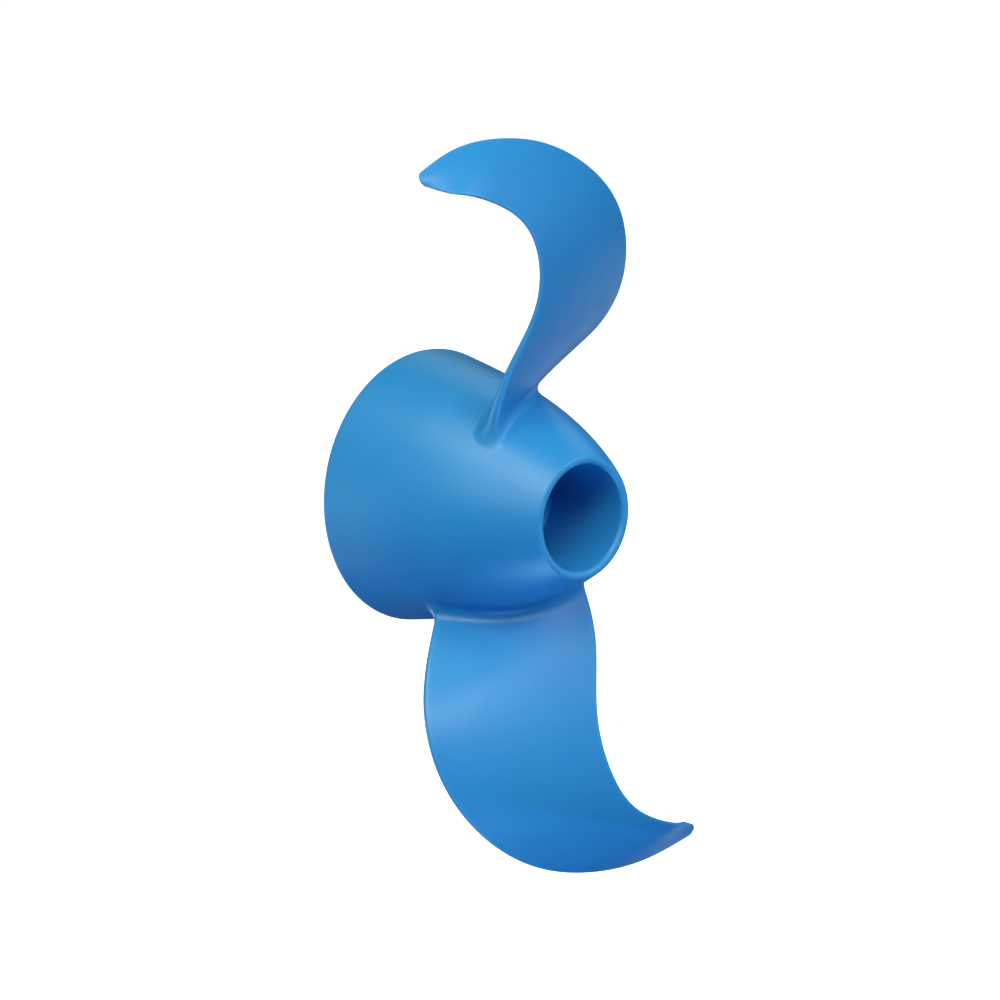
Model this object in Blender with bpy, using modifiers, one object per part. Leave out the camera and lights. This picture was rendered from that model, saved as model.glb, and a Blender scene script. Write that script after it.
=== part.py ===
"""Two-blade boat propeller, moulded in one piece around a metal shaft bush.

The shaft axis is X. The hub's large end, which meets the motor housing, lies at x = 0 and faces -X.
The small end, with the deep recess for the nut, faces +X. One blade stands up along +Z and the other
is its copy, half a turn round the shaft.
"""

import math

import bpy
import numpy as np

MM = 0.001
COLLECTION = "boat_propeller"

# Hub: a turned ogive. Its radius falls in a straight taper, and a power of the length rounds the nose.
HUB_LENGTH = 76.8 * MM
LARGE_END_RADIUS = 46.0 * MM
TAPER_DROP = 13.1 * MM
NOSE_DROP = 12.4 * MM
NOSE_POWER = 2.9
HUB_WALL = 3.5 * MM
LARGE_RIM_ROUND = 0.5 * MM
FLANK_STEPS = 12
TURN_STEPS = 60

# Nut recess in the small end, with a little draft and rounded lips
RECESS_DEPTH = 34.0 * MM
RECESS_MOUTH_RADIUS = 17.8 * MM
RECESS_FLOOR_RADIUS = 17.2 * MM
RECESS_SLEEVE_WALL = 3.0 * MM
OUTER_LIP_ROUND = 1.2 * MM
INNER_LIP_ROUND = 1.4 * MM
ROUND_STEPS = 3
TANGENT_SEARCH_ROUNDS = 8

# Hollow of the large end: an annular space round the boss, crossed by radial ribs
HOLLOW_DEPTH = 62.0 * MM
BOSS_START = 12.0 * MM
BOSS_RADIUS = 13.5 * MM
BOSS_END = 39.5 * MM
RIB_COUNT = 4
RIB_START = 14.0 * MM
RIB_THICKNESS = 2.8 * MM
RIB_FIRST_ANGLE = math.radians(45.0)
RIB_OVERLAP = 1.5 * MM

# Shaft bush and the cross slot for the drive pin
BUSH_RADIUS = 9.7 * MM
BUSH_BORE_RADIUS = 6.1 * MM
BUSH_START = 12.0 * MM
BUSH_END = 43.5 * MM
BUSH_EDGE = 0.5 * MM
BUSH_GAP = 0.3 * MM
BUSH_STEPS = 48
SLOT_WIDTH = 4.8 * MM
SLOT_DEPTH = 6.0 * MM
SLOT_OVERRUN = 2.0 * MM

# Blade edges as points in millimetres (x along the shaft, y, z), from the root to the tip
LEADING_EDGE = (
    (26.0, 18.3, 35.8),
    (42.9, 40.5, 57.5),
    (51.8, 43.0, 82.1),
    (57.0, 30.0, 104.0),
    (58.5, 7.0, 119.5),
    (60.0, -17.5, 126.0),
    (61.5, -41.5, 126.0),
    (64.5, -61.8, 120.1),
)
TRAILING_EDGE = (
    (54.2, -20.6, 26.2),
    (61.3, -20.6, 47.7),
    (69.1, -14.1, 71.5),
    (73.5, -20.0, 95.0),
    (73.5, -34.0, 107.0),
    (72.5, -47.5, 112.0),
    (70.2, -53.8, 113.2),
    (67.0, -60.0, 115.4),
)

# Blade section: rounded edges that thicken only near the root, and a middle that fades to the tip
EDGE_THICKNESS = 1.0 * MM
LEADING_ROOT_GAIN = 5.0 * MM
TRAILING_ROOT_GAIN = 4.6 * MM
EDGE_GAIN_POWER = 6.5
ROOT_THICKNESS = 7.0 * MM
TIP_THICKNESS = 1.6 * MM
SIDE_STEPS = 10
CAP_STEPS = 4
SPAN_ROWS = 20
BLEND_SPAN = 0.12
TIP_WEDGE = math.radians(30.0)
TIP_STEPS = 3

# Root fillet: the section grows by a quarter ellipse as it comes down to the hub, less so towards the
# trailing edge
FILLET_RADIUS = 5.8 * MM
FILLET_FLOOR = 0.5 * MM
FILLET_HEIGHTS = (-1.8 * MM, 0.5 * MM, 1.2 * MM, 2.8 * MM, 5.8 * MM)
FILLET_WIDTH_LEADING = 1.2
FILLET_WIDTH_TRAILING = 0.7
FILLET_WIDTH_POWER = 0.7
ROOT_OVERRUN = 0.06
ROOT_SEARCH_SPAN = 0.3
ROOT_SEARCH_STEPS = 200

PLASTIC_COLOUR = (0.03, 0.22, 0.60, 1.0)
BRASS_COLOUR = (0.62, 0.46, 0.20, 1.0)


def clear_scene():
    for obj in list(bpy.data.objects):
        bpy.data.objects.remove(obj, do_unlink=True)


def new_collection(name, shown=True):
    collection = bpy.data.collections.new(name)
    collection.hide_render = not shown
    bpy.context.scene.collection.children.link(collection)
    return collection


def make_material(name, colour, roughness, metallic):
    material = bpy.data.materials.new(name)
    material.use_nodes = True
    shader = material.node_tree.nodes["Principled BSDF"]
    shader.inputs["Base Color"].default_value = colour
    shader.inputs["Roughness"].default_value = roughness
    shader.inputs["Metallic"].default_value = metallic
    return material


def add_mesh(name, points, edges, faces, collection):
    mesh = bpy.data.meshes.new(name)
    mesh.from_pydata([tuple(map(float, p)) for p in points], edges, faces)
    mesh.update()
    obj = bpy.data.objects.new(name, mesh)
    collection.objects.link(obj)
    return obj


def hide_helper(obj):
    obj.hide_render = True
    obj.display_type = "WIRE"


def hub_radius(x):
    """Outer radius of the hub at distance x from the large end."""
    along = np.clip(x / HUB_LENGTH, 0.0, 1.0)
    return LARGE_END_RADIUS - TAPER_DROP * along - NOSE_DROP * along**NOSE_POWER


def turned(name, profile, steps, collection):
    """Turns a closed profile of (x, radius) pairs about the X axis.

    The profile runs along the outer side from high x to low x, and back along the inside.
    """
    count = len(profile)
    points = [(x, radius, 0.0) for x, radius in profile]
    edges = [(i, (i + 1) % count) for i in range(count)]
    obj = add_mesh(name, points, edges, [], collection)
    screw = obj.modifiers.new("turn", "SCREW")
    screw.axis = "X"
    screw.angle = math.tau
    screw.steps = steps
    screw.render_steps = steps
    screw.use_merge_vertices = True
    screw.merge_threshold = 0.00001
    screw.use_smooth_shade = True
    return obj


def quarter_round(x, radius, size, start):
    """Quarter circle of (x, radius) points about a centre, anticlockwise from the start angle."""
    angles = np.linspace(start, start + math.pi / 2.0, ROUND_STEPS + 1)
    return [(x + size * math.cos(a), radius + size * math.sin(a)) for a in angles]


def flank_lean(x):
    """Angle between the hub's flank and the shaft axis, from the slope of its radius."""
    along = x / HUB_LENGTH
    fall = TAPER_DROP + NOSE_POWER * NOSE_DROP * along ** (NOSE_POWER - 1.0)
    return math.atan(fall / HUB_LENGTH)


def outer_lip():
    """Arc of (x, radius) points from the small end's face to the flank, which it meets at its slope."""
    start = HUB_LENGTH
    for _ in range(TANGENT_SEARCH_ROUNDS):
        start = HUB_LENGTH - OUTER_LIP_ROUND * (1.0 - math.sin(flank_lean(start)))
    lean = flank_lean(start)
    centre_x = HUB_LENGTH - OUTER_LIP_ROUND
    centre_radius = float(hub_radius(start)) - OUTER_LIP_ROUND * math.cos(lean)
    angles = np.linspace(math.pi / 2.0, lean, ROUND_STEPS + 1)
    return [
        (centre_x + OUTER_LIP_ROUND * math.sin(a), centre_radius + OUTER_LIP_ROUND * math.cos(a))
        for a in angles
    ]


def hub_profile():
    """Closed outline of the hub's wall, boss and recess sleeve in the half plane of (x, radius)."""
    recess_floor = HUB_LENGTH - RECESS_DEPTH
    profile = outer_lip()
    rim_radius = float(hub_radius(LARGE_RIM_ROUND)) - LARGE_RIM_ROUND
    flank = np.linspace(profile[-1][0], LARGE_RIM_ROUND, FLANK_STEPS)[1:-1]
    inner = np.linspace(0.0, HOLLOW_DEPTH, FLANK_STEPS // 2)
    sleeve_radius = RECESS_FLOOR_RADIUS + RECESS_SLEEVE_WALL
    boss_bore = BUSH_RADIUS + BUSH_GAP
    profile += [(float(x), float(hub_radius(x))) for x in flank]
    profile += quarter_round(LARGE_RIM_ROUND, rim_radius, LARGE_RIM_ROUND, math.pi / 2.0)
    profile += [(float(x), float(hub_radius(x)) - HUB_WALL) for x in inner]
    profile += [(HOLLOW_DEPTH, sleeve_radius)]
    profile += [(BOSS_END, sleeve_radius), (BOSS_END, BOSS_RADIUS)]
    profile += [(BOSS_START, BOSS_RADIUS), (BOSS_START, boss_bore)]
    profile += [(recess_floor, boss_bore), (recess_floor, RECESS_FLOOR_RADIUS)]
    mouth_x = HUB_LENGTH - INNER_LIP_ROUND
    mouth_radius = RECESS_MOUTH_RADIUS + INNER_LIP_ROUND
    profile += quarter_round(mouth_x, mouth_radius, INNER_LIP_ROUND, -math.pi / 2.0)
    return profile


def add_rib(index, helpers):
    """One radial rib between the boss and the shell: a flat outline given its thickness."""
    boss_side = BOSS_RADIUS - RIB_OVERLAP
    sleeve_side = RECESS_FLOOR_RADIUS + RECESS_SLEEVE_WALL - RIB_OVERLAP
    boss_end = BOSS_END + RIB_OVERLAP
    rib_end = HOLLOW_DEPTH + RIB_OVERLAP
    shell_x = np.linspace(RIB_START, rib_end, FLANK_STEPS // 2)
    outline = [(float(x), float(hub_radius(x)) - HUB_WALL / 2.0) for x in shell_x]
    outline += [(rib_end, sleeve_side), (boss_end, sleeve_side)]
    outline += [(boss_end, boss_side), (RIB_START, boss_side)]
    points = [(x, 0.0, radius) for x, radius in outline]
    rib = add_mesh(f"rib_{index}", points, [], [tuple(range(len(points)))], helpers)
    rib.rotation_euler.x = RIB_FIRST_ANGLE + index * math.tau / RIB_COUNT
    solidify = rib.modifiers.new("thickness", "SOLIDIFY")
    solidify.thickness = RIB_THICKNESS
    solidify.offset = 0.0
    hide_helper(rib)
    return rib


def curve_through(points, parameters):
    """Natural cubic curve through points at even parameters from 0 to 1, read at the parameters."""
    points = np.asarray(points, float)
    spans = len(points) - 1
    system = np.eye(spans + 1)
    right = np.zeros_like(points)
    for i in range(1, spans):
        system[i, i - 1 : i + 2] = (1.0, 4.0, 1.0)
        right[i] = 6.0 * (points[i - 1] - 2.0 * points[i] + points[i + 1])
    bend = np.linalg.solve(system, right)
    place = np.asarray(parameters, float) * spans
    first = np.clip(np.floor(place), 0, spans - 1).astype(int)
    b = (place - first)[..., None]
    a = 1.0 - b
    here, after = points[first], points[first + 1]
    bowed = (a**3 - a) * bend[first] + (b**3 - b) * bend[first + 1]
    return a * here + b * after + bowed / 6.0


def unit(vectors):
    return vectors / np.linalg.norm(vectors, axis=-1, keepdims=True)


def blade_frame(span, across):
    """Point, chord direction, face normal and chord length of the blade's middle surface."""
    leading = curve_through(np.array(LEADING_EDGE) * MM, span)
    trailing = curve_through(np.array(TRAILING_EDGE) * MM, span)
    step = 0.001
    leading_way = curve_through(np.array(LEADING_EDGE) * MM, span + step) - leading
    trailing_way = curve_through(np.array(TRAILING_EDGE) * MM, span + step) - trailing
    point = leading + across[..., None] * (trailing - leading)
    spanwise = leading_way + across[..., None] * (trailing_way - leading_way)
    chord = np.linalg.norm(trailing - leading, axis=-1)
    chordwise = unit(trailing - leading)
    return point, chordwise, unit(np.cross(spanwise, chordwise)), chord


def section_loop():
    """One blade section's outline: place across the chord, and the outward way in (chord, normal).

    It starts at the middle of the leading edge, runs along one face, round the trailing edge and back
    along the other face. The place is 0 at the leading cap's centre and 1 at the trailing one's.
    """
    quarter = np.linspace(0.0, math.pi / 2.0, CAP_STEPS // 2 + 1)
    side = (1.0 - np.cos(np.linspace(0.0, math.pi, SIDE_STEPS + 1)[1:-1])) / 2.0
    place = np.concatenate([np.zeros(len(quarter)), side, np.ones(len(quarter))])
    along = np.concatenate([-np.cos(quarter), np.zeros(len(side)), np.cos(quarter[::-1])])
    normal = np.concatenate([np.sin(quarter), np.ones(len(side)), np.sin(quarter[::-1])])
    back = slice(-2, 0, -1)
    place = np.concatenate([place, place[back]])
    along = np.concatenate([along, along[back]])
    normal = np.concatenate([normal, -normal[back]])
    return place, along, normal


def span_at_height(height, place):
    """Span parameter at which the middle surface stands at a height above the hub, across the chord."""
    span = np.linspace(-ROOT_OVERRUN, ROOT_SEARCH_SPAN, ROOT_SEARCH_STEPS)
    found = []
    for across in place:
        point = blade_frame(span, np.full_like(span, across))[0]
        heights = np.hypot(point[:, 1], point[:, 2]) - hub_radius(point[:, 0])
        found.append(np.interp(height, heights, span))
    return np.array(found)


def fillet_growth(height):
    """Extra half thickness of the root at a height above the hub, from a quarter circle."""
    rest = FILLET_RADIUS - np.clip(height, FILLET_FLOOR, FILLET_RADIUS)
    return FILLET_RADIUS - math.sqrt(FILLET_RADIUS**2 - rest**2)


def blade_row(span, growth, loop):
    """Points of one section, given the span parameter of each point and the root's extra thickness."""
    place, along, normal = loop
    point, chordwise, facing, chord = blade_frame(span, place)
    to_tip = np.clip(1.0 - span, 0.0, 1.0)
    gain = LEADING_ROOT_GAIN + (TRAILING_ROOT_GAIN - LEADING_ROOT_GAIN) * place
    edge = np.minimum(EDGE_THICKNESS + gain * to_tip**EDGE_GAIN_POWER, chord) / 2.0
    thickest = TIP_THICKNESS + (ROOT_THICKNESS - TIP_THICKNESS) * to_tip
    half = np.maximum(edge, edge + (thickest / 2.0 - edge) * 4.0 * place * (1.0 - place))
    narrowing = (FILLET_WIDTH_TRAILING - FILLET_WIDTH_LEADING) * place**FILLET_WIDTH_POWER
    reach = half + growth * (FILLET_WIDTH_LEADING + narrowing)
    inset = edge * (1.0 - 2.0 * place)
    sideways = (inset + along * reach)[:, None] * chordwise
    return point + sideways + (normal * reach)[:, None] * facing


def on_hub(points, height):
    """The points moved along their radius until they stand at the height above the hub."""
    radius = np.hypot(points[:, 1], points[:, 2])
    scale = (hub_radius(points[:, 0]) + height) / radius
    return points * np.stack([np.ones_like(scale), scale, scale], axis=1)


def blade_rows():
    """All sections from inside the hub's wall to the tip, and the tip's last point."""
    loop = section_loop()
    rows = []
    for height in FILLET_HEIGHTS:
        span = span_at_height(height, loop[0])
        rows.append(on_hub(blade_row(span, fillet_growth(height), loop), height))
    start = span_at_height(FILLET_HEIGHTS[-1], loop[0])
    shift = rows[-1] - blade_row(start, 0.0, loop)
    for step in np.linspace(0.0, 1.0, SPAN_ROWS + 1)[1:]:
        fade = max(1.0 - step / BLEND_SPAN, 0.0)
        rows.append(blade_row(start + (1.0 - start) * step, 0.0, loop) + shift * fade)
    centre, chordwise, facing, chord = blade_frame(np.array([1.0]), np.array([0.5]))
    onward = np.cross(chordwise, facing)[0]
    reach = float(chord[0]) / 2.0
    offset = rows[-1] - centre
    upright = (offset @ facing[0])[:, None] * facing[0]
    low, cosine = math.sin(TIP_WEDGE), math.cos(TIP_WEDGE)
    for angle in np.linspace(TIP_WEDGE, math.pi / 2.0, TIP_STEPS + 1)[1:-1]:
        share = math.cos(angle) / cosine
        rise = onward * reach * (math.sin(angle) - low) / cosine
        rows.append(centre + (offset - upright) * share + upright * math.sqrt(share) + rise)
    return rows, centre[0] + onward * reach * (1.0 - low) / cosine


def add_blade(helpers):
    """The upper blade as a closed loft through its sections."""
    rows, tip = blade_rows()
    around = len(rows[0])
    points = np.concatenate(rows + [tip[None]])
    faces = []
    for row in range(len(rows) - 1):
        for i in range(around):
            j = (i + 1) % around
            low, high = row * around, (row + 1) * around
            faces.append((low + i, low + j, high + j, high + i))
    top = (len(rows) - 1) * around
    faces += [(top + i, top + (i + 1) % around, len(points) - 1) for i in range(around)]
    half = around // 2
    faces.append((1, 0, around - 1))
    faces += [(i + 1, i, around - i, around - i - 1) for i in range(1, half - 1)]
    faces.append((half, half - 1, half + 1))
    blade = add_mesh("blade_upper", points, [], faces, helpers)
    hide_helper(blade)
    return blade


def add_slot_cutter(helpers):
    """Box for the drive pin's cross slot, open towards the large end."""
    bpy.ops.mesh.primitive_cube_add(size=1.0)
    cutter = bpy.context.active_object
    cutter.name = "pin_slot_cutter"
    cutter.scale = (SLOT_DEPTH + SLOT_OVERRUN, 2.0 * (BOSS_RADIUS + SLOT_OVERRUN), SLOT_WIDTH)
    cutter.location.x = BOSS_START + (SLOT_DEPTH - SLOT_OVERRUN) / 2.0
    for owner in list(cutter.users_collection):
        owner.objects.unlink(cutter)
    helpers.objects.link(cutter)
    hide_helper(cutter)
    return cutter


def combine(target, other, operation):
    boolean = target.modifiers.new(other.name, "BOOLEAN")
    boolean.operation = operation
    boolean.object = other
    boolean.solver = "EXACT"


def build_propeller(parts, helpers, slot):
    """Hub, ribs and both blades, joined as the one moulding that they are."""
    propeller = turned("propeller", hub_profile(), TURN_STEPS, parts)
    combine(propeller, slot, "DIFFERENCE")
    for index in range(RIB_COUNT):
        combine(propeller, add_rib(index, helpers), "UNION")
    upper = add_blade(helpers)
    lower = upper.copy()
    lower.name = "blade_lower"
    lower.rotation_euler.x = math.pi
    helpers.objects.link(lower)
    for blade in (upper, lower):
        combine(propeller, blade, "UNION")
    propeller.data.materials.append(make_material("blue_plastic", PLASTIC_COLOUR, 0.38, 0.0))
    return propeller


def build_bush(parts, slot):
    """Metal sleeve that carries the shaft, with broken edges and the drive pin's slot."""
    profile = [
        (BUSH_END, BUSH_RADIUS - BUSH_EDGE),
        (BUSH_END - BUSH_EDGE, BUSH_RADIUS),
        (BUSH_START + BUSH_EDGE, BUSH_RADIUS),
        (BUSH_START, BUSH_RADIUS - BUSH_EDGE),
        (BUSH_START, BUSH_BORE_RADIUS + BUSH_EDGE),
        (BUSH_START + BUSH_EDGE, BUSH_BORE_RADIUS),
        (BUSH_END - BUSH_EDGE, BUSH_BORE_RADIUS),
        (BUSH_END, BUSH_BORE_RADIUS + BUSH_EDGE),
    ]
    bush = turned("shaft_bush", profile, BUSH_STEPS, parts)
    combine(bush, slot, "DIFFERENCE")
    bush.data.materials.append(make_material("brass", BRASS_COLOUR, 0.32, 1.0))
    return bush


def main():
    clear_scene()
    parts = new_collection(COLLECTION)
    helpers = new_collection("cutters", shown=False)
    slot = add_slot_cutter(helpers)
    build_propeller(parts, helpers, slot)
    build_bush(parts, slot)


main()
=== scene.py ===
"""Looks of the two-blade boat propeller: one blue moulding round a turned brass shaft bush.

The shaft axis is X and the small end with the nut recess faces +X. The hub, its boss and ribs, and both
blades are surfaces worked out on grids with numpy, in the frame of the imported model. All sizes are metres.
"""

import logging
import math
from dataclasses import dataclass
from enum import Enum

import bpy
import numpy as np
from mathutils import Matrix, Vector


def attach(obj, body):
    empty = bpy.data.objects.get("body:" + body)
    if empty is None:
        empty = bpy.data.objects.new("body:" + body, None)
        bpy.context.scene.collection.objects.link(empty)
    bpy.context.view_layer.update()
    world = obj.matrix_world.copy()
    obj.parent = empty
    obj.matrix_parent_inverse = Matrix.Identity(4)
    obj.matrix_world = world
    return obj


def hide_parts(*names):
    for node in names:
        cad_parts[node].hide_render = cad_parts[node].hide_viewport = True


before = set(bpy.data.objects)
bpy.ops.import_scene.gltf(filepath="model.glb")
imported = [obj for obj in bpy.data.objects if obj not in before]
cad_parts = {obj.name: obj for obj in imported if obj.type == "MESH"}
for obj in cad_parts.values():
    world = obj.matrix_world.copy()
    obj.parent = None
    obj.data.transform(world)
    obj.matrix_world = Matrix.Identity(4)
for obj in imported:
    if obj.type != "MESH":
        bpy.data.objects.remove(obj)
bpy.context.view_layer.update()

LOG = logging.getLogger("propeller")
MM = 0.001
WELD_DISTANCE = 0.002 * MM
SHARP_ANGLE = math.radians(38.0)
TANGENT_SEARCH_ROUNDS = 8
EDGE_ATTRIBUTE = "edge_wear"
Grid = np.ndarray


class Slot(Enum):
    """The record's material slots."""

    MOULDING = "moulding"
    BUSH = "bush"


class Half(Enum):
    """The two blades, half a turn apart, by the sign that turns Y and Z."""

    UPPER = 1.0
    LOWER = -1.0


def weld(points: Grid, faces: Grid, values: Grid) -> tuple[Grid, Grid, Grid]:
    """Merges points that coincide, and drops the faces that this leaves without area.

    Points are equal when they round to the same multiple of the weld distance.

    Args:
        points: Points, one row each.
        faces: Corner numbers of four-sided faces, one row each.
        values: One number for each point.

    Returns:
        The kept points, the faces (a repeated corner marks a triangle) and the kept values.
    """
    keys = np.round(points / WELD_DISTANCE).astype(np.int64)
    _, first, place = np.unique(keys, axis=0, return_index=True, return_inverse=True)
    faces = place.reshape(-1)[faces]
    ordered = np.sort(faces, axis=1)
    corners = 1 + (np.diff(ordered, axis=1) > 0).sum(axis=1)
    crossed = (faces[:, 0] == faces[:, 2]) | (faces[:, 1] == faces[:, 3])
    return points[first], faces[(corners >= 3) & ~crossed], values[first]


def outward(points: Grid, faces: Grid) -> Grid:
    """Turns all faces over where the closed surface's signed volume is negative.

    The volume is a sixth of the sum of the triple products of each face's two triangles.

    Args:
        points: Points, one row each.
        faces: Corner numbers of four-sided faces, one row each.

    Returns:
        The faces, pointing out of the solid.
    """
    a, b, c, d = (points[faces[:, i]] for i in range(4))
    volume = np.einsum("ij,ij->", a, np.cross(b, c)) + np.einsum("ij,ij->", a, np.cross(c, d))
    return faces if volume > 0.0 else faces[:, ::-1]


def grid_faces(rows: int, columns: int, wrap_rows: bool, wrap_columns: bool) -> Grid:
    """Four-sided faces between neighbours on a grid of rows times columns points.

    Args:
        rows: Number of rows.
        columns: Number of points in a row.
        wrap_rows: True where the last row meets the first.
        wrap_columns: True where a row's last point meets its first.

    Returns:
        Corner numbers, one row for each face.
    """
    row = np.arange(rows if wrap_rows else rows - 1)[:, None]
    column = np.arange(columns if wrap_columns else columns - 1)[None, :]
    next_row = (row + 1) % rows
    next_column = (column + 1) % columns
    corners = [row * columns + column, row * columns + next_column]
    corners += [next_row * columns + next_column, next_row * columns + column]
    return np.stack([np.broadcast_to(c, (row.size, column.size)) for c in corners], axis=-1).reshape(-1, 4)


def mesh_object(name: str, points: Grid, faces: Grid, values: Grid) -> bpy.types.Object:
    """Makes a smooth-shaded object from welded faces, with the edge attribute on its points.

    Args:
        name: Name of the piece.
        points: Points, one row each.
        faces: Corner numbers of four-sided faces; a repeated corner marks a triangle.
        values: Nearness to a worn edge for each point, from 0 to 1.

    Returns:
        The object, at the origin, in the scene.
    """
    points, faces, values = weld(points, faces, values)
    faces = outward(points, faces)
    keep = faces != np.roll(faces, 1, axis=1)
    sizes = keep.sum(axis=1)
    mesh = bpy.data.meshes.new(name)
    mesh.vertices.add(len(points))
    mesh.vertices.foreach_set("co", points.astype(np.float32).ravel())
    mesh.loops.add(int(sizes.sum()))
    mesh.loops.foreach_set("vertex_index", faces[keep].astype(np.int32))
    mesh.polygons.add(len(faces))
    mesh.polygons.foreach_set("loop_start", np.concatenate([[0], np.cumsum(sizes)[:-1]]).astype(np.int32))
    mesh.update(calc_edges=True)
    mesh.validate()
    mesh.polygons.foreach_set("use_smooth", np.ones(len(mesh.polygons), bool))
    mesh.set_sharp_from_angle(angle=SHARP_ANGLE)
    attribute = mesh.attributes.new(EDGE_ATTRIBUTE, "FLOAT", "POINT")
    attribute.data.foreach_set("value", values.astype(np.float32))
    piece = bpy.data.objects.new(name, mesh)
    bpy.context.scene.collection.objects.link(piece)
    return piece


def smooth_step(value: Grid) -> Grid:
    """Rises smoothly from 0 to 1: three times the square less twice the cube, of the clipped value."""
    value = np.clip(value, 0.0, 1.0)
    return value * value * (3.0 - 2.0 * value)


def unit(vectors: Grid) -> Grid:
    """Vectors divided by their length."""
    return vectors / np.linalg.norm(vectors, axis=-1, keepdims=True)


def quarter_round(centre: tuple[float, float], radius: float, start: float, steps: int) -> Grid:
    """Quarter circle of (x, radius) points about a centre.

    The point at angle a is the centre plus the radius times (cos a, sin a).

    Args:
        centre: The circle's centre as (x, radius).
        radius: The circle's own radius.
        start: First angle in quarter turns; the arc runs on to the next quarter.
        steps: Number of steps.

    Returns:
        Points, one row each.
    """
    angle = (start + np.linspace(0.0, 1.0, steps + 1)) * math.pi / 2.0
    return np.stack([centre[0] + radius * np.cos(angle), centre[1] + radius * np.sin(angle)], axis=1)


def inner_round(corner: tuple[float, float], radius: float, start: float, steps: int) -> Grid:
    """Quarter circle that fills a hollow corner of a profile; it is run through backwards.

    Args:
        corner: The circle's centre as (x, radius).
        radius: The circle's own radius.
        start: Angle in quarter turns at which the backward arc ends.
        steps: Number of steps.

    Returns:
        Points, one row each.
    """
    return quarter_round(corner, radius, start, steps)[::-1]


def resampled(profile: Grid, spacing: float) -> Grid:
    """Adds points on a profile's long straight runs, so that no step is much over the spacing.

    Args:
        profile: Points of the closed profile, one row each.
        spacing: Longest step wanted.

    Returns:
        The profile with the added points.
    """
    following = np.roll(profile, -1, axis=0)
    counts = np.maximum(1, np.ceil(np.linalg.norm(following - profile, axis=1) / spacing)).astype(int)
    owner = np.repeat(np.arange(len(profile)), counts)
    step = np.arange(len(owner)) - np.repeat(np.cumsum(counts) - counts, counts)
    share = (step / counts[owner])[:, None]
    return profile[owner] * (1.0 - share) + following[owner] * share


def turned(name: str, profile: Grid, wear: Grid, steps: int) -> bpy.types.Object:
    """A closed profile turned about X: the point (x, r) at angle a lies at (x, r cos a, r sin a).

    Args:
        name: Name of the piece.
        profile: Closed profile as (x, radius) rows.
        wear: Nearness to a worn edge for each row.
        steps: Points round the turn.

    Returns:
        The object.
    """
    angle = np.linspace(0.0, math.tau, steps, endpoint=False)
    x = np.repeat(profile[:, :1], steps, axis=1)
    radius = profile[:, 1:]
    points = np.stack([x, radius * np.cos(angle), radius * np.sin(angle)], axis=-1).reshape(-1, 3)
    faces = grid_faces(len(profile), steps, True, True)
    return mesh_object(name, points, faces, np.repeat(wear, steps))


@dataclass(frozen=True)
class OgiveFlank:
    """The hub's outer flank: a straight taper, and a power of the length that rounds the nose."""

    length: float = 76.8 * MM
    large_radius: float = 46.0 * MM
    taper_drop: float = 13.1 * MM
    nose_drop: float = 12.4 * MM
    nose_power: float = 2.9
    lip_round: float = 1.2 * MM

    def radius(self, x: Grid) -> Grid:
        """Outer radius at distance x from the large end."""
        along = np.clip(x / self.length, 0.0, 1.0)
        return self.large_radius - self.taper_drop * along - self.nose_drop * along**self.nose_power

    def lean(self, x: float) -> float:
        """Angle between the flank and the shaft axis, from the radius formula's slope."""
        along = x / self.length
        fall = self.taper_drop + self.nose_power * self.nose_drop * along ** (self.nose_power - 1.0)
        return math.atan(fall / self.length)

    def lip_arc(self, steps: int) -> Grid:
        """Arc from the small end's flat face back to the flank, which it meets without a crease.

        The arc starts on the flank where its radius, less the part that the lean takes, just reaches the
        face; a few rounds of the same sum find that place.

        Args:
            steps: Number of steps.

        Returns:
            Points as (x, radius), one row each.
        """
        start = self.length
        for _ in range(TANGENT_SEARCH_ROUNDS):
            start = self.length - self.lip_round * (1.0 - math.sin(self.lean(start)))
        lean = self.lean(start)
        middle_radius = float(self.radius(start)) - self.lip_round * math.cos(lean)
        turn = np.linspace(math.pi / 2.0, lean, steps + 1)
        x = self.length - self.lip_round * (1.0 - np.sin(turn))
        return np.stack([x, middle_radius + self.lip_round * np.cos(turn)], axis=1)


def curve_through(points: Grid, parameters: Grid) -> Grid:
    """Natural cubic curve through points at even parameters from 0 to 1.

    Between two points the curve is their mean, weighted by the place, plus cubic terms of the bends
    that make slope and curvature run on through every point.

    Args:
        points: The points, one row each.
        parameters: Places on the curve.

    Returns:
        Points of the curve at these places.
    """
    points = np.asarray(points, float)
    spans = len(points) - 1
    rows = np.arange(1, spans)
    system = np.eye(spans + 1)
    system[rows, rows - 1] = 1.0
    system[rows, rows] = 4.0
    system[rows, rows + 1] = 1.0
    right = np.zeros_like(points)
    right[1:-1] = 6.0 * (points[:-2] - 2.0 * points[1:-1] + points[2:])
    bend = np.linalg.solve(system, right)
    place = np.asarray(parameters, float) * spans
    first = np.clip(np.floor(place), 0, spans - 1).astype(int)
    b = (place - first)[..., None]
    a = 1.0 - b
    bowed = (a**3 - a) * bend[first] + (b**3 - b) * bend[first + 1]
    return a * points[first] + b * points[first + 1] + bowed / 6.0


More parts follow.
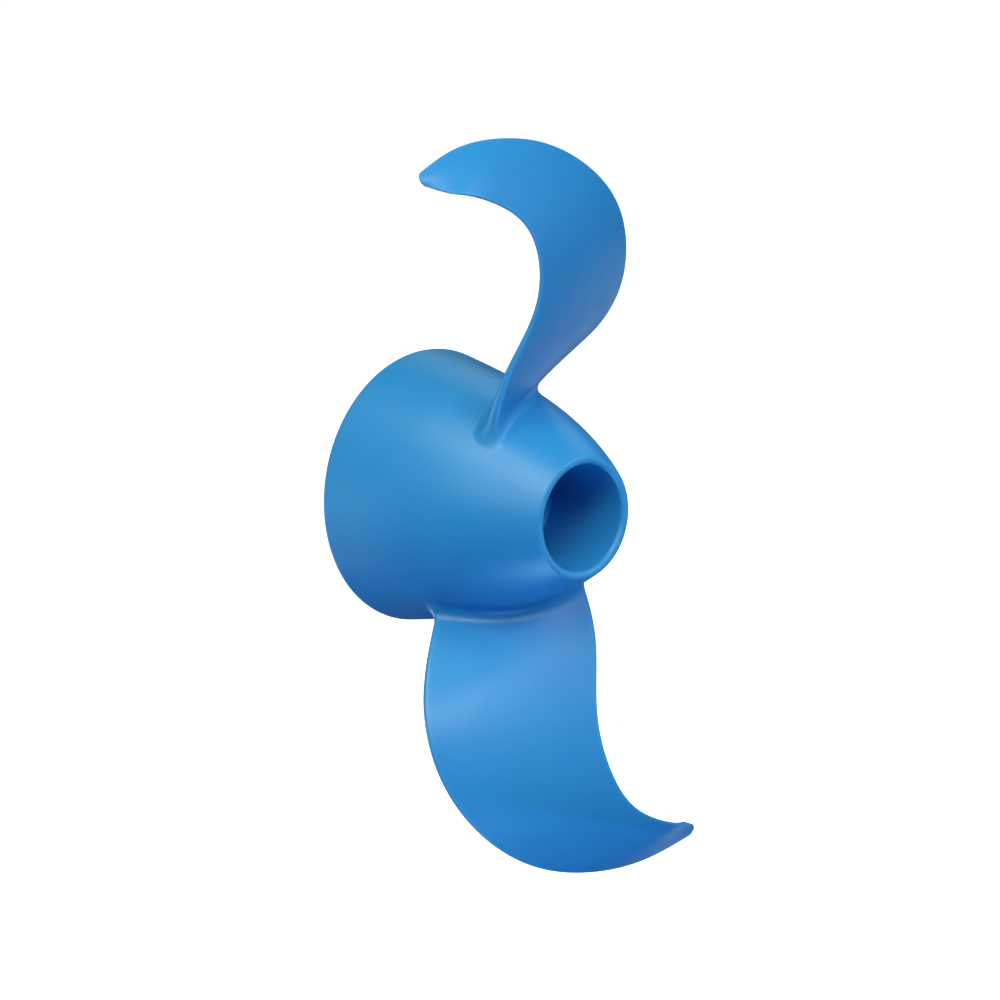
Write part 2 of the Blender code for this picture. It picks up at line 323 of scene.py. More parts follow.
@dataclass
class Blade:
    """A sickle-shaped blade: sections between two edge curves, closed by a round tip.

    The middle surface is ruled between the leading and the trailing edge. A section's half thickness is
    the edge's own, plus a parabola across the chord. Close to the hub a fillet is added: a quarter circle
    times a share that falls from the leading to the trailing edge. The edge points are in millimetres.
    """

    flank: OgiveFlank
    half: Half
    edge_thickness: float = 1.0 * MM
    leading_root_gain: float = 5.0 * MM
    trailing_root_gain: float = 4.6 * MM
    edge_gain_power: float = 6.5
    root_thickness: float = 7.0 * MM
    tip_thickness: float = 1.6 * MM
    fillet_radius: float = 5.8 * MM
    fillet_width_leading: float = 1.2
    fillet_width_trailing: float = 0.7
    fillet_width_power: float = 0.7
    fillet_floor: float = 0.02 * MM
    sunk_depth: float = 1.5 * MM
    tip_wedge: float = math.radians(30.0)
    blend_span: float = 0.12
    root_overrun: float = 0.06
    root_search_end: float = 0.3
    root_search_steps: int = 400
    slope_step: float = 0.001
    side_steps: int = 44
    cap_steps: int = 5
    fillet_rows: int = 16
    span_rows: int = 150
    tip_rows: int = 8
    wear_width: float = 1.6 * MM
    leading: tuple = (
        (26.0, 18.3, 35.8),
        (42.9, 40.5, 57.5),
        (51.8, 43.0, 82.1),
        (57.0, 30.0, 104.0),
        (58.5, 7.0, 119.5),
        (60.0, -17.5, 126.0),
        (61.5, -41.5, 126.0),
        (64.5, -61.8, 120.1),
    )
    trailing: tuple = (
        (54.2, -20.6, 26.2),
        (61.3, -20.6, 47.7),
        (69.1, -14.1, 71.5),
        (73.5, -20.0, 95.0),
        (73.5, -34.0, 107.0),
        (72.5, -47.5, 112.0),
        (70.2, -53.8, 113.2),
        (67.0, -60.0, 115.4),
    )

    def middle(self, span: Grid, across: Grid) -> tuple[Grid, Grid, Grid, Grid]:
        """The middle surface: leading edge plus the share across the chord times the chord.

        Args:
            span: Place along the edges, 0 at the root and 1 at the tip.
            across: Place across the chord, 0 at the leading edge.

        Returns:
            Point, chord direction, face normal and chord length.
        """
        lead, trail = np.array(self.leading) * MM, np.array(self.trailing) * MM
        start, end = curve_through(lead, span), curve_through(trail, span)
        start_way = curve_through(lead, span + self.slope_step) - start
        end_way = curve_through(trail, span + self.slope_step) - end
        point = start + across[..., None] * (end - start)
        spanwise = start_way + across[..., None] * (end_way - start_way)
        chordwise = unit(end - start)
        return point, chordwise, unit(np.cross(spanwise, chordwise)), np.linalg.norm(end - start, axis=-1)

    def loop(self) -> tuple[Grid, Grid, Grid]:
        """Places round one section: share across the chord, and outward way along chord and normal.

        Returns:
            The three arrays, from the leading edge along one face, round the trailing edge and back.
        """
        quarter = np.linspace(0.0, math.pi / 2.0, self.cap_steps)
        side = (1.0 - np.cos(np.linspace(0.0, math.pi, self.side_steps + 1)[1:-1])) / 2.0
        place = np.concatenate([np.zeros(len(quarter)), side, np.ones(len(quarter))])
        along = np.concatenate([-np.cos(quarter), np.zeros(len(side)), np.cos(quarter[::-1])])
        normal = np.concatenate([np.sin(quarter), np.ones(len(side)), np.sin(quarter[::-1])])
        back = slice(-2, 0, -1)
        place = np.concatenate([place, place[back]])
        along = np.concatenate([along, along[back]])
        return place, along, np.concatenate([normal, -normal[back]])

    def span_at(self, height: float, place: Grid) -> Grid:
        """Span at which the middle surface stands at a height above the hub, for places on the chord."""
        span = np.linspace(-self.root_overrun, self.root_search_end, self.root_search_steps)
        spans, places = np.meshgrid(span, place, indexing="ij")
        point = self.middle(spans, places)[0]
        heights = np.hypot(point[..., 1], point[..., 2]) - self.flank.radius(point[..., 0])
        return np.array([np.interp(height, column, span) for column in heights.T])

    def row(self, span: Grid, growth: float, loop: tuple[Grid, Grid, Grid]) -> tuple[Grid, Grid]:
        """One section: middle surface plus half thickness along the normal, with round edges.

        Args:
            span: Span of each point of the section.
            growth: The fillet's extra half thickness.
            loop: Places round the section, from loop().

        Returns:
            Points of the section, and their nearness to an edge.
        """
        place, along, normal = loop
        point, chordwise, facing, chord = self.middle(span, place)
        to_tip = np.clip(1.0 - span, 0.0, 1.0)
        gain = self.leading_root_gain + (self.trailing_root_gain - self.leading_root_gain) * place
        edge = np.minimum(self.edge_thickness + gain * to_tip**self.edge_gain_power, chord) / 2.0
        thickest = self.tip_thickness + (self.root_thickness - self.tip_thickness) * to_tip
        half = np.maximum(edge, edge + (thickest / 2.0 - edge) * 4.0 * place * (1.0 - place))
        narrowing = self.fillet_width_leading - self.fillet_width_trailing
        width = self.fillet_width_leading - narrowing * place**self.fillet_width_power
        reach = half + growth * width
        sideways = (edge * (1.0 - 2.0 * place) + along * reach)[:, None] * chordwise
        inward = np.minimum(place, 1.0 - place) * chord
        wear = 1.0 - smooth_step(inward / self.wear_width)
        return point + sideways + (normal * reach)[:, None] * facing, wear

    def on_hub(self, points: Grid, height: float) -> Grid:
        """The points moved along their radius until they stand at the height above the hub."""
        scale = (self.flank.radius(points[:, 0]) + height) / np.hypot(points[:, 1], points[:, 2])
        return points * np.stack([np.ones_like(scale), scale, scale], axis=1)

    def rows(self) -> tuple[list[Grid], list[Grid]]:
        """All sections, from inside the hub's wall through fillet and span to the tip's last point."""
        loop = self.loop()
        rows, wears = [], []
        rise = 1.0 - np.cos(np.linspace(0.0, math.pi / 2.0, self.fillet_rows))
        fillet_heights = self.fillet_floor + rise * (self.fillet_radius - self.fillet_floor)
        heights = np.concatenate([[-self.sunk_depth], fillet_heights])
        for height in heights:
            rest = self.fillet_radius - max(float(height), self.fillet_floor)
            growth = self.fillet_radius - math.sqrt(max(self.fillet_radius**2 - rest**2, 0.0))
            points, wear = self.row(self.span_at(float(height), loop[0]), growth, loop)
            rows.append(self.on_hub(points, float(height)))
            wears.append(wear * float(height) / self.fillet_radius if height > 0 else wear * 0.0)
        start = self.span_at(self.fillet_radius, loop[0])
        shift = rows[-1] - self.row(start, 0.0, loop)[0]
        for step in np.linspace(0.0, 1.0, self.span_rows + 1)[1:]:
            points, wear = self.row(start + (1.0 - start) * step, 0.0, loop)
            rows.append(points + shift * (1.0 - float(smooth_step(step / self.blend_span))))
            wears.append(wear)
        centre, chordwise, facing, chord = self.middle(np.array([1.0]), np.array([0.5]))
        onward = np.cross(chordwise, facing)[0]
        reach = float(chord[0]) / 2.0
        offset = rows[-1] - centre
        upright = (offset @ facing[0])[:, None] * facing[0]
        for angle in np.linspace(self.tip_wedge, math.pi / 2.0, self.tip_rows + 1)[1:]:
            share = math.cos(angle) / math.cos(self.tip_wedge)
            rise = (math.sin(angle) - math.sin(self.tip_wedge)) / math.cos(self.tip_wedge)
            flat = (offset - upright) * share
            rows.append(centre + flat + upright * math.sqrt(max(share, 0.0)) + onward * reach * rise)
            wears.append(np.ones(len(offset)))
        return rows, wears

    def root_lid(self, around: int) -> Grid:
        """Faces that close the sunk end: strips between the section's two faces."""
        half = around // 2
        i = np.arange(half)
        return np.stack([i, i + 1, (around - i - 1) % around, (around - i) % around], axis=1)

    def build(self) -> bpy.types.Object:
        """Builds the blade as one closed surface.

        Returns:
            The object.
        """
        rows, wears = self.rows()
        around = len(rows[0])
        points = np.concatenate(rows) * np.array([1.0, self.half.value, self.half.value])
        faces = grid_faces(len(rows), around, False, True)
        faces = np.concatenate([faces, self.root_lid(around)])
        return mesh_object(f"blade_{self.half.name.lower()}", points, faces, np.concatenate(wears))


@dataclass
class HubShell:
    """The turned part of the moulding: flank, both rims, hollow, web, sleeve and nut recess."""

    flank: OgiveFlank
    wall: float = 3.5 * MM
    rim_round: float = 0.5 * MM
    inner_lip: float = 1.4 * MM
    recess_depth: float = 34.0 * MM
    mouth_radius: float = 17.8 * MM
    floor_radius: float = 17.2 * MM
    sleeve_wall: float = 3.0 * MM
    hollow_depth: float = 62.0 * MM
    web_start: float = 39.5 * MM
    web_bore: float = 11.5 * MM
    corner_round: float = 1.2 * MM
    round_steps: int = 8
    flank_steps: int = 90
    turn_steps: int = 256
    spacing: float = 1.6 * MM
    wear_width: float = 1.5 * MM

    @property
    def sleeve_radius(self) -> float:
        """Outer radius of the sleeve round the nut recess."""
        return self.floor_radius + self.sleeve_wall

    def profile(self) -> Grid:
        """Closed profile, from the small end's lip along the flank and back through the inside."""
        flank, steps = self.flank, self.round_steps
        length, soft = flank.length, self.corner_round
        floor_x = length - self.recess_depth
        lip = flank.lip_arc(steps)
        xs = np.linspace(lip[-1, 0], self.rim_round, self.flank_steps)[1:-1]
        deep_x = np.linspace(0.0, self.hollow_depth - soft, self.flank_steps // 2)
        deep = self.hollow_depth - soft
        sleeve = self.sleeve_radius
        shell_end = float(flank.radius(self.hollow_depth)) - self.wall
        rim_centre = (self.rim_round, float(flank.radius(self.rim_round)) - self.rim_round)
        mouth = (length - self.inner_lip, self.mouth_radius + self.inner_lip)
        parts = [
            lip,
            np.stack([xs, flank.radius(xs)], axis=1),
            quarter_round(rim_centre, self.rim_round, 1.0, steps),
            np.stack([deep_x, flank.radius(deep_x) - self.wall], axis=1),
            inner_round((deep, shell_end - soft), soft, 0.0, steps),
            inner_round((deep, sleeve + soft), soft, -1.0, steps),
            inner_round((self.web_start - soft, sleeve - soft), soft, 0.0, steps),
            np.array([(self.web_start, self.web_bore), (floor_x, self.web_bore)]),
            inner_round((floor_x + soft, self.floor_radius - soft), soft, 1.0, steps),
            quarter_round(mouth, self.inner_lip, -1.0, steps),
        ]
        return np.concatenate(parts)

    def wear(self, profile: Grid) -> Grid:
        """Nearness to the two exposed rims: 1 at the rim, 0 a wear width away."""
        lip_x = self.flank.length
        rims = [(lip_x, self.mouth_radius + self.inner_lip), (0.0, self.flank.large_radius)]
        distance = np.min([np.hypot(profile[:, 0] - x, profile[:, 1] - r) for x, r in rims], axis=0)
        return 1.0 - smooth_step(distance / self.wear_width)

    def build(self) -> bpy.types.Object:
        """Builds the hub as one turned, closed surface.

        Returns:
            The object.
        """
        profile = resampled(self.profile(), self.spacing)
        return turned("hub_shell", profile, self.wear(profile), self.turn_steps)


@dataclass
class SlottedSleeve:
    """A round sleeve with a cross slot in the end that faces the motor, as the boss and the bush have.

    Round the sleeve run columns of points. Those beside the slot follow the angle whose sine is half the
    slot's width over the radius, so its walls are flat; those in the slot start at its floor.
    """

    name: str
    inner: float
    outer: float
    start: float
    end: float
    edge: float
    slot_width: float = 4.8 * MM
    slot_depth: float = 6.0 * MM
    slot_start: float = 12.0 * MM
    side_columns: int = 72
    slot_columns: int = 8
    round_steps: int = 4
    face_steps: int = 6
    wall_steps: int = 30

    def rows(self, front: Grid) -> tuple[Grid, Grid]:
        """The section's closed outline for columns whose front stands at the given x.

        Args:
            front: Front x of each column.

        Returns:
            Arrays of x and radius, one row for each point of the outline and a column for each front.
        """
        edge, steps = self.edge, self.round_steps
        back_outer = quarter_round((self.end - edge, self.outer - edge), edge, 0.0, steps)
        back_inner = quarter_round((self.end - edge, self.inner + edge), edge, -1.0, steps)
        floor = self.slot_start + self.slot_depth
        wall_x = np.linspace(self.end - edge, floor, self.wall_steps)[1:]
        lip = quarter_round((edge, self.outer - edge), edge, 1.0, steps)
        face_r = np.linspace(self.outer - edge, self.inner + edge, self.face_steps)[1:-1]
        inner_lip = quarter_round((edge, self.inner + edge), edge, 2.0, steps)
        solid = (front < floor)[None, :]
        fixed = [back_outer, np.stack([wall_x, np.full_like(wall_x, self.outer)], axis=1)]
        free = [lip, np.stack([np.zeros_like(face_r), face_r], axis=1), inner_lip]
        last = [np.stack([wall_x[::-1], np.full_like(wall_x, self.inner)], axis=1), back_inner]
        before, moving, after = (np.concatenate(group) for group in (fixed, free, last))
        moving_x = np.where(solid, moving[:, :1] + front[None, :], floor)
        ones = np.ones_like(front)[None, :]
        x = np.concatenate([before[:, :1] * ones, moving_x, after[:, :1] * ones])
        radius = np.concatenate([before[:, 1:], moving[:, 1:], after[:, 1:]]) * ones
        return x, radius

    def build(self) -> bpy.types.Object:
        """Builds the sleeve as one closed surface.

        Returns:
            The object.
        """
        half = self.slot_width / 2.0
        floor = self.slot_start + self.slot_depth
        side = np.linspace(0.0, 1.0, self.side_columns)
        slot = np.linspace(1.0, -1.0, self.slot_columns)
        fronts = np.concatenate([np.full(side.size, self.start), np.full(slot.size, floor)])
        x, radius = self.rows(np.tile(fronts, 2))
        wall_angle = np.arcsin(half / radius[:, :1])
        upper = wall_angle + side[None, :] * (math.pi - 2.0 * wall_angle)
        left = math.pi - np.arcsin(slot[None, :] * half / radius[:, :1])
        angle = np.concatenate([upper, left, upper + math.pi, left + math.pi], axis=1)
        points = np.stack([x, radius * np.cos(angle), radius * np.sin(angle)], axis=-1)
        rows, columns = x.shape
        from_rims = np.minimum(np.abs(radius - self.outer), np.abs(radius - self.inner))
        reach = from_rims + np.abs(x - self.start)
        wear = 1.0 - smooth_step(reach / (2.0 * self.edge))
        faces = grid_faces(rows, columns, True, True)
        return mesh_object(self.name, points.reshape(-1, 3), faces, wear.ravel())


@dataclass
class Ribs:
    """Radial ribs between boss and shell, with draft, a rounded free edge and small root radii.

    On a rib, x and a share f give the place: its radius runs from inside the boss (f = 0) to inside the
    shell's wall (f = 1). The half thickness is the draft's, times the rounding of the free edge, plus
    quarter circles close to boss and shell.
    """

    flank: OgiveFlank
    shell: HubShell
    count: int = 4
    first_angle: float = math.radians(45.0)
    start: float = 14.0 * MM
    boss_radius: float = 13.5 * MM
    thickness: float = 2.5 * MM
    draft: float = 0.6 * MM
    overlap: float = 1.5 * MM
    root_round: float = 1.6 * MM
    front_steps: int = 8
    long_steps: int = 90
    cross_steps: int = 56

    def one(self) -> tuple[Grid, Grid]:
        """Grid of one rib in the plane y = 0: loops round its section, one for each x."""
        edge = self.thickness / 2.0
        end = self.shell.hollow_depth + self.overlap
        turn = np.linspace(0.0, math.pi / 2.0, self.front_steps + 1)[:-1]
        front = self.start + edge * (1.0 - np.cos(turn))
        x = np.concatenate([front, np.linspace(self.start + edge, end, self.long_steps)])
        rounding = np.concatenate([np.sin(turn), np.ones(self.long_steps)])
        web_middle = self.shell.web_start + self.overlap
        low = np.where(x < web_middle, self.boss_radius, self.shell.sleeve_radius)
        high = self.flank.radius(x) - self.shell.wall
        share = (1.0 - np.cos(np.linspace(0.0, math.pi, self.cross_steps))) / 2.0
        bottom, top = low - self.overlap, high + self.overlap
        radius = bottom[:, None] + (top - bottom)[:, None] * share[None, :]
        away = np.minimum(radius - low[:, None], high[:, None] - radius)
        rest = self.root_round - np.clip(away, 0.0, self.root_round)
        growth = self.root_round - np.sqrt(np.maximum(self.root_round**2 - rest**2, 0.0))
        along = np.clip((x - self.start) / (end - self.start), 0.0, 1.0)
        half = (edge + self.draft / 2.0 * along)[:, None] + growth
        half = half * rounding[:, None]
        radius = np.concatenate([radius, radius[:, ::-1]], axis=1)
        side = np.concatenate([half, -half[:, ::-1]], axis=1)
        places = np.broadcast_to(x[:, None], radius.shape)
        wear = np.repeat(1.0 - rounding, radius.shape[1])
        return np.stack([places, side, radius], axis=-1), wear

    def build(self) -> bpy.types.Object:
        """Builds all ribs as closed surfaces in one object.

        Returns:
            The object.
        """
        grid, wear = self.one()
        rows, columns = grid.shape[:2]
        faces = grid_faces(rows, columns, False, True)
        half = columns // 2
        i = np.arange(half - 1)
        lid = np.stack([i, i + 1, columns - 2 - i, columns - 1 - i], axis=1)
        faces = np.concatenate([faces, lid[:, ::-1] + (rows - 1) * columns])
        points = grid.reshape(-1, 3)
        turns = self.first_angle + np.arange(self.count) * math.tau / self.count
        cos, sin = np.cos(turns)[:, None], np.sin(turns)[:, None]
        y = cos * points[:, 1] - sin * points[:, 2]
        z = sin * points[:, 1] + cos * points[:, 2]
        x = np.broadcast_to(points[:, 0], y.shape)
        copies = np.stack([x, y, z], axis=-1).reshape(-1, 3)
        offsets = np.arange(self.count)[:, None, None] * len(points)
        all_faces = (faces[None] + offsets).reshape(-1, 4)
        return mesh_object("hub_ribs", copies, all_faces, np.tile(wear, self.count))


class NodeTree:
    """Small helper that adds nodes to a material and links them."""

    def __init__(self, name: str) -> None:
        """Starts an empty material with one Principled shader."""
        self.material = bpy.data.materials.new(name)
        self.material.use_nodes = True
        self.tree = self.material.node_tree
        self.shader = self.tree.nodes["Principled BSDF"]
        self.place = self.add("ShaderNodeTexCoord").outputs["Object"]

    def add(self, kind: str, **settings: object) -> bpy.types.Node:
        """Adds a node and sets its properties.

        Args:
            kind: The node's type name.
            settings: Properties by name.

        Returns:
            The node.
        """
        node = self.tree.nodes.new(kind)
        for key, value in settings.items():
            setattr(node, key, value)
        return node

    def link(self, source: bpy.types.NodeSocket, target: bpy.types.NodeSocket) -> None:
        """Joins two sockets."""
        self.tree.links.new(source, target)

    def noise(self, scale: float, detail: float = 3.0, roughness: float = 0.55) -> bpy.types.NodeSocket:
        """Noise on Object coordinates.

        Args:
            scale: Waves in a metre.
            detail: Number of finer layers.
            roughness: Strength of the finer layers.

        Returns:
            The noise value's socket.
        """
        node = self.add("ShaderNodeTexNoise")
        node.inputs["Scale"].default_value = scale
        node.inputs["Detail"].default_value = detail
        node.inputs["Roughness"].default_value = roughness
        self.link(self.place, node.inputs["Vector"])
        return node.outputs["Fac"]

    def ranged(
        self,
        source: bpy.types.NodeSocket,
        low: float,
        high: float,
        *,
        low_in: float = 0.3,
        high_in: float = 0.7,
    ) -> bpy.types.NodeSocket:
        """Maps a value from one range to another.

        Args:
            source: The value.
            low: Result at the low end.
            high: Result at the high end.
            low_in: Value at the low end.
            high_in: Value at the high end.

        Returns:
            The mapped value's socket.
        """
        node = self.add("ShaderNodeMapRange")
        for key, number in (("From Min", low_in), ("From Max", high_in), ("To Min", low), ("To Max", high)):
            node.inputs[key].default_value = number
        self.link(source, node.inputs["Value"])
        return node.outputs["Result"]

    def mixed(self, share: bpy.types.NodeSocket, first: object, second: object) -> bpy.types.NodeSocket:
        """Mixes two colours by a share.

        Args:
            share: The share of the second colour.
            first: Colour or socket at share 0.
            second: Colour or socket at share 1.

        Returns:
            The mixed colour's socket.
        """
        node = self.add("ShaderNodeMix", data_type="RGBA")
        self.link(share, node.inputs["Factor"])
        for value, key in ((first, 6), (second, 7)):
            if isinstance(value, tuple):
                node.inputs[key].default_value = value
            else:
                self.link(value, node.inputs[key])
        return node.outputs[2]

    def bump(self, heights: list[tuple[bpy.types.NodeSocket, float, float]]) -> None:
        """Chains bump nodes into the shader's normal.

        Args:
            heights: For each layer its height socket, strength and distance in metres.
        """
        before = None
        for height, strength, distance in heights:
            node = self.add("ShaderNodeBump")
            node.inputs["Strength"].default_value = strength
            node.inputs["Distance"].default_value = distance
            self.link(height, node.inputs["Height"])
            if before is not None:
                self.link(before, node.inputs["Normal"])
            before = node.outputs["Normal"]
        self.link(before, self.shader.inputs["Normal"])


@dataclass(frozen=True)
class MouldedPlastic:
    """Satin blue engineering plastic: faint flow clouds, fine grain, edges a little paler."""

    deep: tuple = (0.019, 0.222, 0.555, 1.0)
    clear: tuple = (0.022, 0.240, 0.595, 1.0)
    worn: tuple = (0.040, 0.280, 0.640, 1.0)
    cloud_scale: float = 26.0
    grain_scale: float = 1400.0
    wave_scale: float = 110.0
    wave_strength: float = 0.05
    wave_height: float = 0.4 * MM
    grain_strength: float = 0.12
    grain_height: float = 0.02 * MM
    smooth_roughness: float = 0.34
    dull_roughness: float = 0.44
    edge_share: float = 0.5
    ior: float = 1.5

    def material(self) -> bpy.types.Material:
        """Makes the material.

        Returns:
            The material.
        """
        nodes = NodeTree("blue_moulding")
        clouds = nodes.noise(self.cloud_scale, 4.0)
        colour = nodes.mixed(nodes.ranged(clouds, 0.0, 1.0), self.deep, self.clear)
        edge = nodes.add("ShaderNodeAttribute", attribute_name=EDGE_ATTRIBUTE).outputs["Fac"]
        rubbed = nodes.ranged(edge, 0.0, self.edge_share, low_in=0.2, high_in=1.0)
        colour = nodes.mixed(rubbed, colour, self.worn)
        nodes.link(colour, nodes.shader.inputs["Base Color"])
        grain = nodes.noise(self.grain_scale, 2.0)
        patches = nodes.noise(self.cloud_scale * 3.0, 5.0)
        roughness = nodes.ranged(patches, self.smooth_roughness, self.dull_roughness)
        nodes.link(roughness, nodes.shader.inputs["Roughness"])
        nodes.shader.inputs["IOR"].default_value = self.ior
        waves = nodes.noise(self.wave_scale, 2.0)
        wave_layer = (waves, self.wave_strength, self.wave_height)
        nodes.bump([wave_layer, (grain, self.grain_strength, self.grain_height)])
        return nodes.material


@dataclass(frozen=True)
class TurnedBrass:
    """Turned brass: fine rings of the cutting tool about the X axis, a little tarnish in patches."""

    bright: tuple = (0.60, 0.43, 0.19, 1.0)
    tarnished: tuple = (0.34, 0.24, 0.11, 1.0)
    ring_scale: float = 1800.0
    ring_distortion: float = 0.4
    ring_strength: float = 0.25
    ring_height: float = 0.02 * MM
    patch_scale: float = 180.0
    patch_strength: float = 0.1
    patch_height: float = 0.05 * MM
    smooth_roughness: float = 0.26
    dull_roughness: float = 0.42

    def material(self) -> bpy.types.Material:
        """Makes the material.

        Returns:
            The material.
        """
        nodes = NodeTree("turned_brass")
        patches = nodes.noise(self.patch_scale, 5.0)
        colour = nodes.mixed(nodes.ranged(patches, 0.0, 1.0), self.bright, self.tarnished)
        nodes.link(colour, nodes.shader.inputs["Base Color"])
        nodes.shader.inputs["Metallic"].default_value = 1.0
        roughness = nodes.ranged(patches, self.smooth_roughness, self.dull_roughness)
        nodes.link(roughness, nodes.shader.inputs["Roughness"])
        rings = nodes.add("ShaderNodeTexWave", wave_type="BANDS", bands_direction="X")
        rings.inputs["Scale"].default_value = self.ring_scale
        rings.inputs["Distortion"].default_value = self.ring_distortion
        nodes.link(nodes.place, rings.inputs["Vector"])
        ring_layer = (rings.outputs["Fac"], self.ring_strength, self.ring_height)
        nodes.bump([ring_layer, (patches, self.patch_strength, self.patch_height)])
        return nodes.material


@dataclass(frozen=True)
class PaperFloor:
    """Pale studio floor with a faint mottle, bright enough to show as plain white."""

    pale: tuple = (0.86, 0.86, 0.86, 1.0)
    grey: tuple = (0.83, 0.83, 0.84, 1.0)
    mottle_scale: float = 3.0
    glow: float = 1.12
    roughness: float = 0.9

    def material(self) -> bpy.types.Material:
        """Makes the material.

        Returns:
            The material.
        """
        nodes = NodeTree("studio_floor")
        mottle = nodes.ranged(nodes.noise(self.mottle_scale), 0.0, 1.0)
        colour = nodes.mixed(mottle, self.pale, self.grey)
        nodes.link(colour, nodes.shader.inputs["Base Color"])
        nodes.link(colour, nodes.shader.inputs["Emission Color"])
        nodes.shader.inputs["Emission Strength"].default_value = self.glow
        nodes.shader.inputs["Roughness"].default_value = self.roughness
        return nodes.material


@dataclass
class Propeller:
    """The whole moulding and its bush."""

    boss_start: float = 12.0 * MM
    boss_inner: float = 10.0 * MM
    boss_outer: float = 13.5 * MM
    boss_end: float = 43.1 * MM
    boss_edge: float = 0.5 * MM
    bush_inner: float = 6.1 * MM
    bush_outer: float = 9.7 * MM
    bush_end: float = 43.5 * MM
    bush_edge: float = 0.5 * MM

    def build(self) -> None:
        """Builds every piece, dresses it and ties it to the frame."""
        flank = OgiveFlank()
        shell = HubShell(flank)
        boss = SlottedSleeve(
            "hub_boss", self.boss_inner, self.boss_outer, self.boss_start, self.boss_end, self.boss_edge
        )
        bush = SlottedSleeve(
            "bush_sleeve", self.bush_inner, self.bush_outer, self.boss_start, self.bush_end, self.bush_edge
        )
        plastic = MouldedPlastic().material()
        brass = TurnedBrass().material()
        moulded = [shell.build(), boss.build(), Ribs(flank, shell).build()]
        moulded += [Blade(flank, half).build() for half in Half]
        for piece in moulded:
            self.dress(piece, plastic, "propeller")
        self.dress(bush.build(), brass, "shaft_bush")

    def dress(self, piece: bpy.types.Object, material: bpy.types.Material, node: str) -> None:
        """Gives a piece its material and body, and hides the CAD node that it stands for.

        Args:
            piece: The piece.
            material: Its finish.
            node: The CAD node that it stands for.
        """
        piece.data.materials.append(material)
        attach(piece, "root")
        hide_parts(node)
        LOG.info("%s: %d faces for node %s", piece.name, len(piece.data.polygons), node)


@dataclass(frozen=True)
class SoftLight:
    """A round soft light. Its way is given as shares of the photo camera's right, up and back."""

    name: str
    way: tuple
    power: float
    colour: tuple
    size: float = 1.3
    away: float = 2.0
    aim: tuple = (0.04, 0.0, 0.0)

    def place(self, axes: tuple[Vector, Vector, Vector]) -> None:
        """Adds the light, turned towards the propeller.

        Args:
            axes: The camera's right, up and back.
        """
        right, up, back = axes
        direction = (right * self.way[0] + up * self.way[1] + back * self.way[2]).normalized()
        data = bpy.data.lights.new(self.name, "AREA")
        data.shape = "DISK"
        data.size = self.size
        data.energy = self.power
        data.color = self.colour
        light = bpy.data.objects.new(self.name, data)
        light.location = Vector(self.aim) + direction * self.away
        light.rotation_euler = direction.to_track_quat("Z", "Y").to_euler()
        light.visible_camera = False
        bpy.context.scene.collection.objects.link(light)


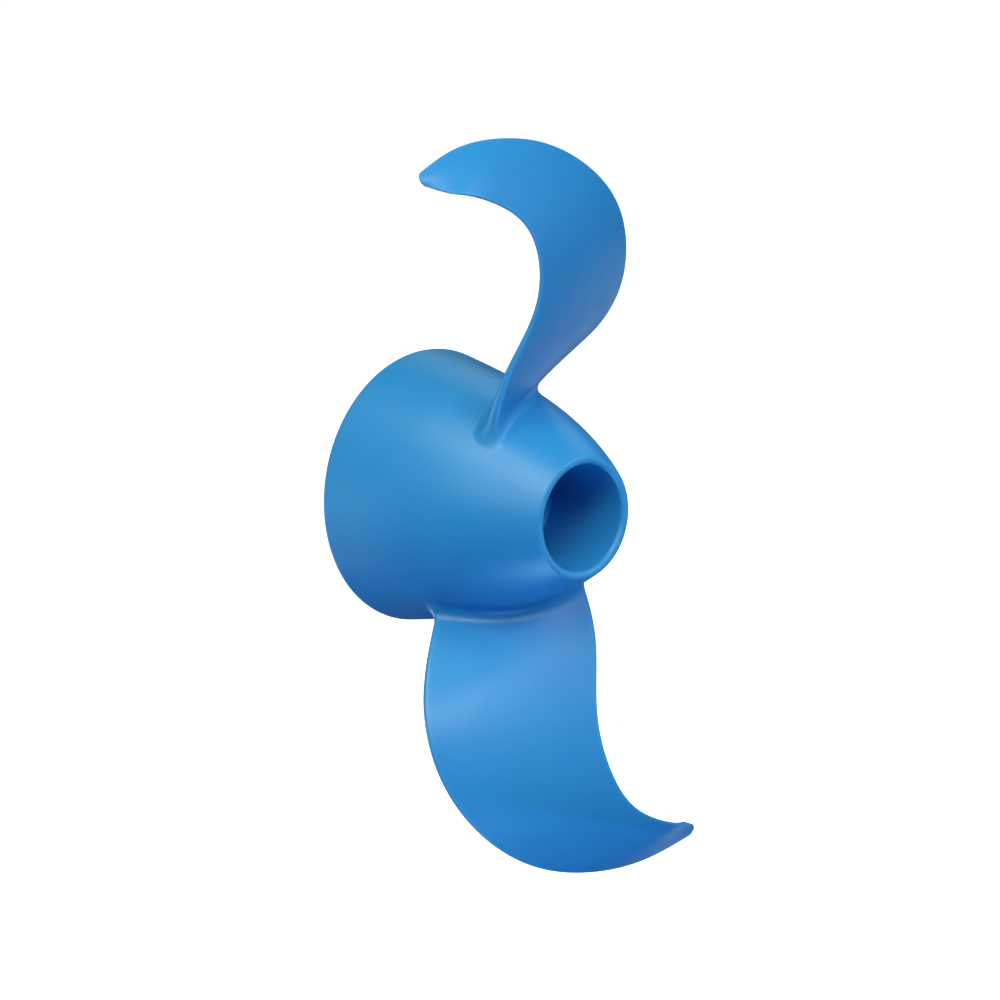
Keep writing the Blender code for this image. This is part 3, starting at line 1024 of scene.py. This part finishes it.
@dataclass
class Studio:
    """Camera at the photograph's angle, pale floor and soft lights."""

    azimuth: float = math.radians(46.5)
    elevation: float = math.radians(11.71)
    distance: float = 2.5134
    aim_right: float = 0.0253
    aim_up: float = -0.0053
    lens: float = 269.95
    floor_drop: float = 0.24
    floor_reach: float = 12.0
    floor_steps: int = 24
    view_limit: float = 100.0
    horizon_blend: float = 0.3
    sky_glow: float = 0.09
    ground_glow: float = 0.16
    glow_colour: tuple = (0.4, 0.65, 1.0, 1.0)
    lights: tuple = (
        SoftLight("overhead", (-0.31, 0.81, 0.5), 18.0, (1.0, 1.0, 0.74)),
        SoftLight("front_high", (0.0, 0.53, 0.85), 16.5, (1.0, 1.0, 0.8), 0.8),
        SoftLight("front_right", (0.5, 0.31, 0.81), 11.0, (0.8, 0.94, 0.98), 0.7),
        SoftLight("along_shaft", (0.69, -0.1, 0.71), 1.5, (0.3, 0.8, 1.0), 0.8),
        SoftLight("below", (0.0, -1.0, 0.0), 20.0, (0.35, 0.75, 1.0)),
        SoftLight("right_high", (0.81, 0.5, 0.31), 10.5, (0.85, 0.95, 0.95), 0.5),
        SoftLight("front_left", (-0.5, 0.31, 0.81), 9.5, (1.0, 1.0, 0.86)),
        SoftLight("left", (-1.0, -0.15, 0.0), 11.0, (0.45, 0.75, 1.0)),
        SoftLight("front_low", (0.31, -0.81, 0.5), 14.0, (0.3, 0.6, 1.0)),
        SoftLight("right", (1.0, 0.0, 0.0), 6.0, (0.45, 0.75, 1.0)),
        SoftLight("behind_high", (0.2, 0.78, -0.6), 5.5, (0.6, 0.88, 1.0)),
        SoftLight("behind_left", (-0.8, -0.35, -0.5), 17.0, (0.8, 0.93, 1.0)),
        SoftLight("behind_right", (0.5, -0.31, -0.81), 3.2, (0.6, 0.8, 1.0)),
    )

    def camera_axes(self) -> tuple[Vector, Vector, Vector]:
        """The camera's right, up and back as unit vectors, from its azimuth and elevation."""
        flat = math.cos(self.elevation)
        sine, cosine = math.sin(self.azimuth), math.cos(self.azimuth)
        back = Vector((sine * flat, -cosine * flat, math.sin(self.elevation)))
        right = Vector((cosine, sine, 0.0))
        return right, back.cross(right), back

    def add_camera(self) -> None:
        """Places the camera and makes it the scene's own."""
        right, up, back = self.camera_axes()
        data = bpy.data.cameras.new("photo_camera")
        data.lens = self.lens
        data.clip_end = self.view_limit
        camera = bpy.data.objects.new("photo_camera", data)
        turn = Matrix((right, up, back)).transposed().to_4x4()
        place = back * self.distance + right * self.aim_right + up * self.aim_up
        camera.matrix_world = Matrix.Translation(place) @ turn
        bpy.context.scene.collection.objects.link(camera)
        bpy.context.scene.camera = camera
        bpy.context.scene.view_settings.view_transform = "Standard"

    def add_floor(self) -> None:
        """A wide flat sheet under the propeller: z is constant over an even grid of x and y."""
        line = np.linspace(-self.floor_reach, self.floor_reach, self.floor_steps)
        x, y = np.meshgrid(line, line, indexing="ij")
        points = np.stack([x, y, np.full_like(x, -self.floor_drop)], axis=-1).reshape(-1, 3)
        faces = grid_faces(self.floor_steps, self.floor_steps, False, False)
        mesh = bpy.data.meshes.new("floor")
        mesh.from_pydata(points.tolist(), [], faces.tolist())
        floor = bpy.data.objects.new("floor", mesh)
        floor.data.materials.append(PaperFloor().material())
        floor.visible_diffuse = False
        floor.visible_glossy = False
        bpy.context.scene.collection.objects.link(floor)

    def add_world(self) -> None:
        """Even, faint blue surroundings, brighter below the horizon than above it."""
        world = bpy.data.worlds.new("studio_world")
        world.use_nodes = True
        tree = world.node_tree
        place = tree.nodes.new("ShaderNodeTexCoord")
        split = tree.nodes.new("ShaderNodeSeparateXYZ")
        rise = tree.nodes.new("ShaderNodeMapRange")
        rise.inputs["From Min"].default_value = -self.horizon_blend
        rise.inputs["From Max"].default_value = self.horizon_blend
        rise.inputs["To Min"].default_value = self.ground_glow
        rise.inputs["To Max"].default_value = self.sky_glow
        tree.links.new(place.outputs["Generated"], split.inputs["Vector"])
        tree.links.new(split.outputs["Z"], rise.inputs["Value"])
        tree.links.new(rise.outputs["Result"], tree.nodes["Background"].inputs["Strength"])
        tree.nodes["Background"].inputs["Color"].default_value = self.glow_colour
        bpy.context.scene.world = world

    def build(self) -> None:
        """Sets up the stage."""
        self.add_camera()
        self.add_floor()
        self.add_world()
        for light in self.lights:
            light.place(self.camera_axes())


def main() -> None:
    """Builds the studio and the propeller."""
    logging.basicConfig(level=logging.INFO, format="%(name)s: %(message)s")
    Studio().build()
    Propeller().build()


if __name__ == "__main__":
    main()
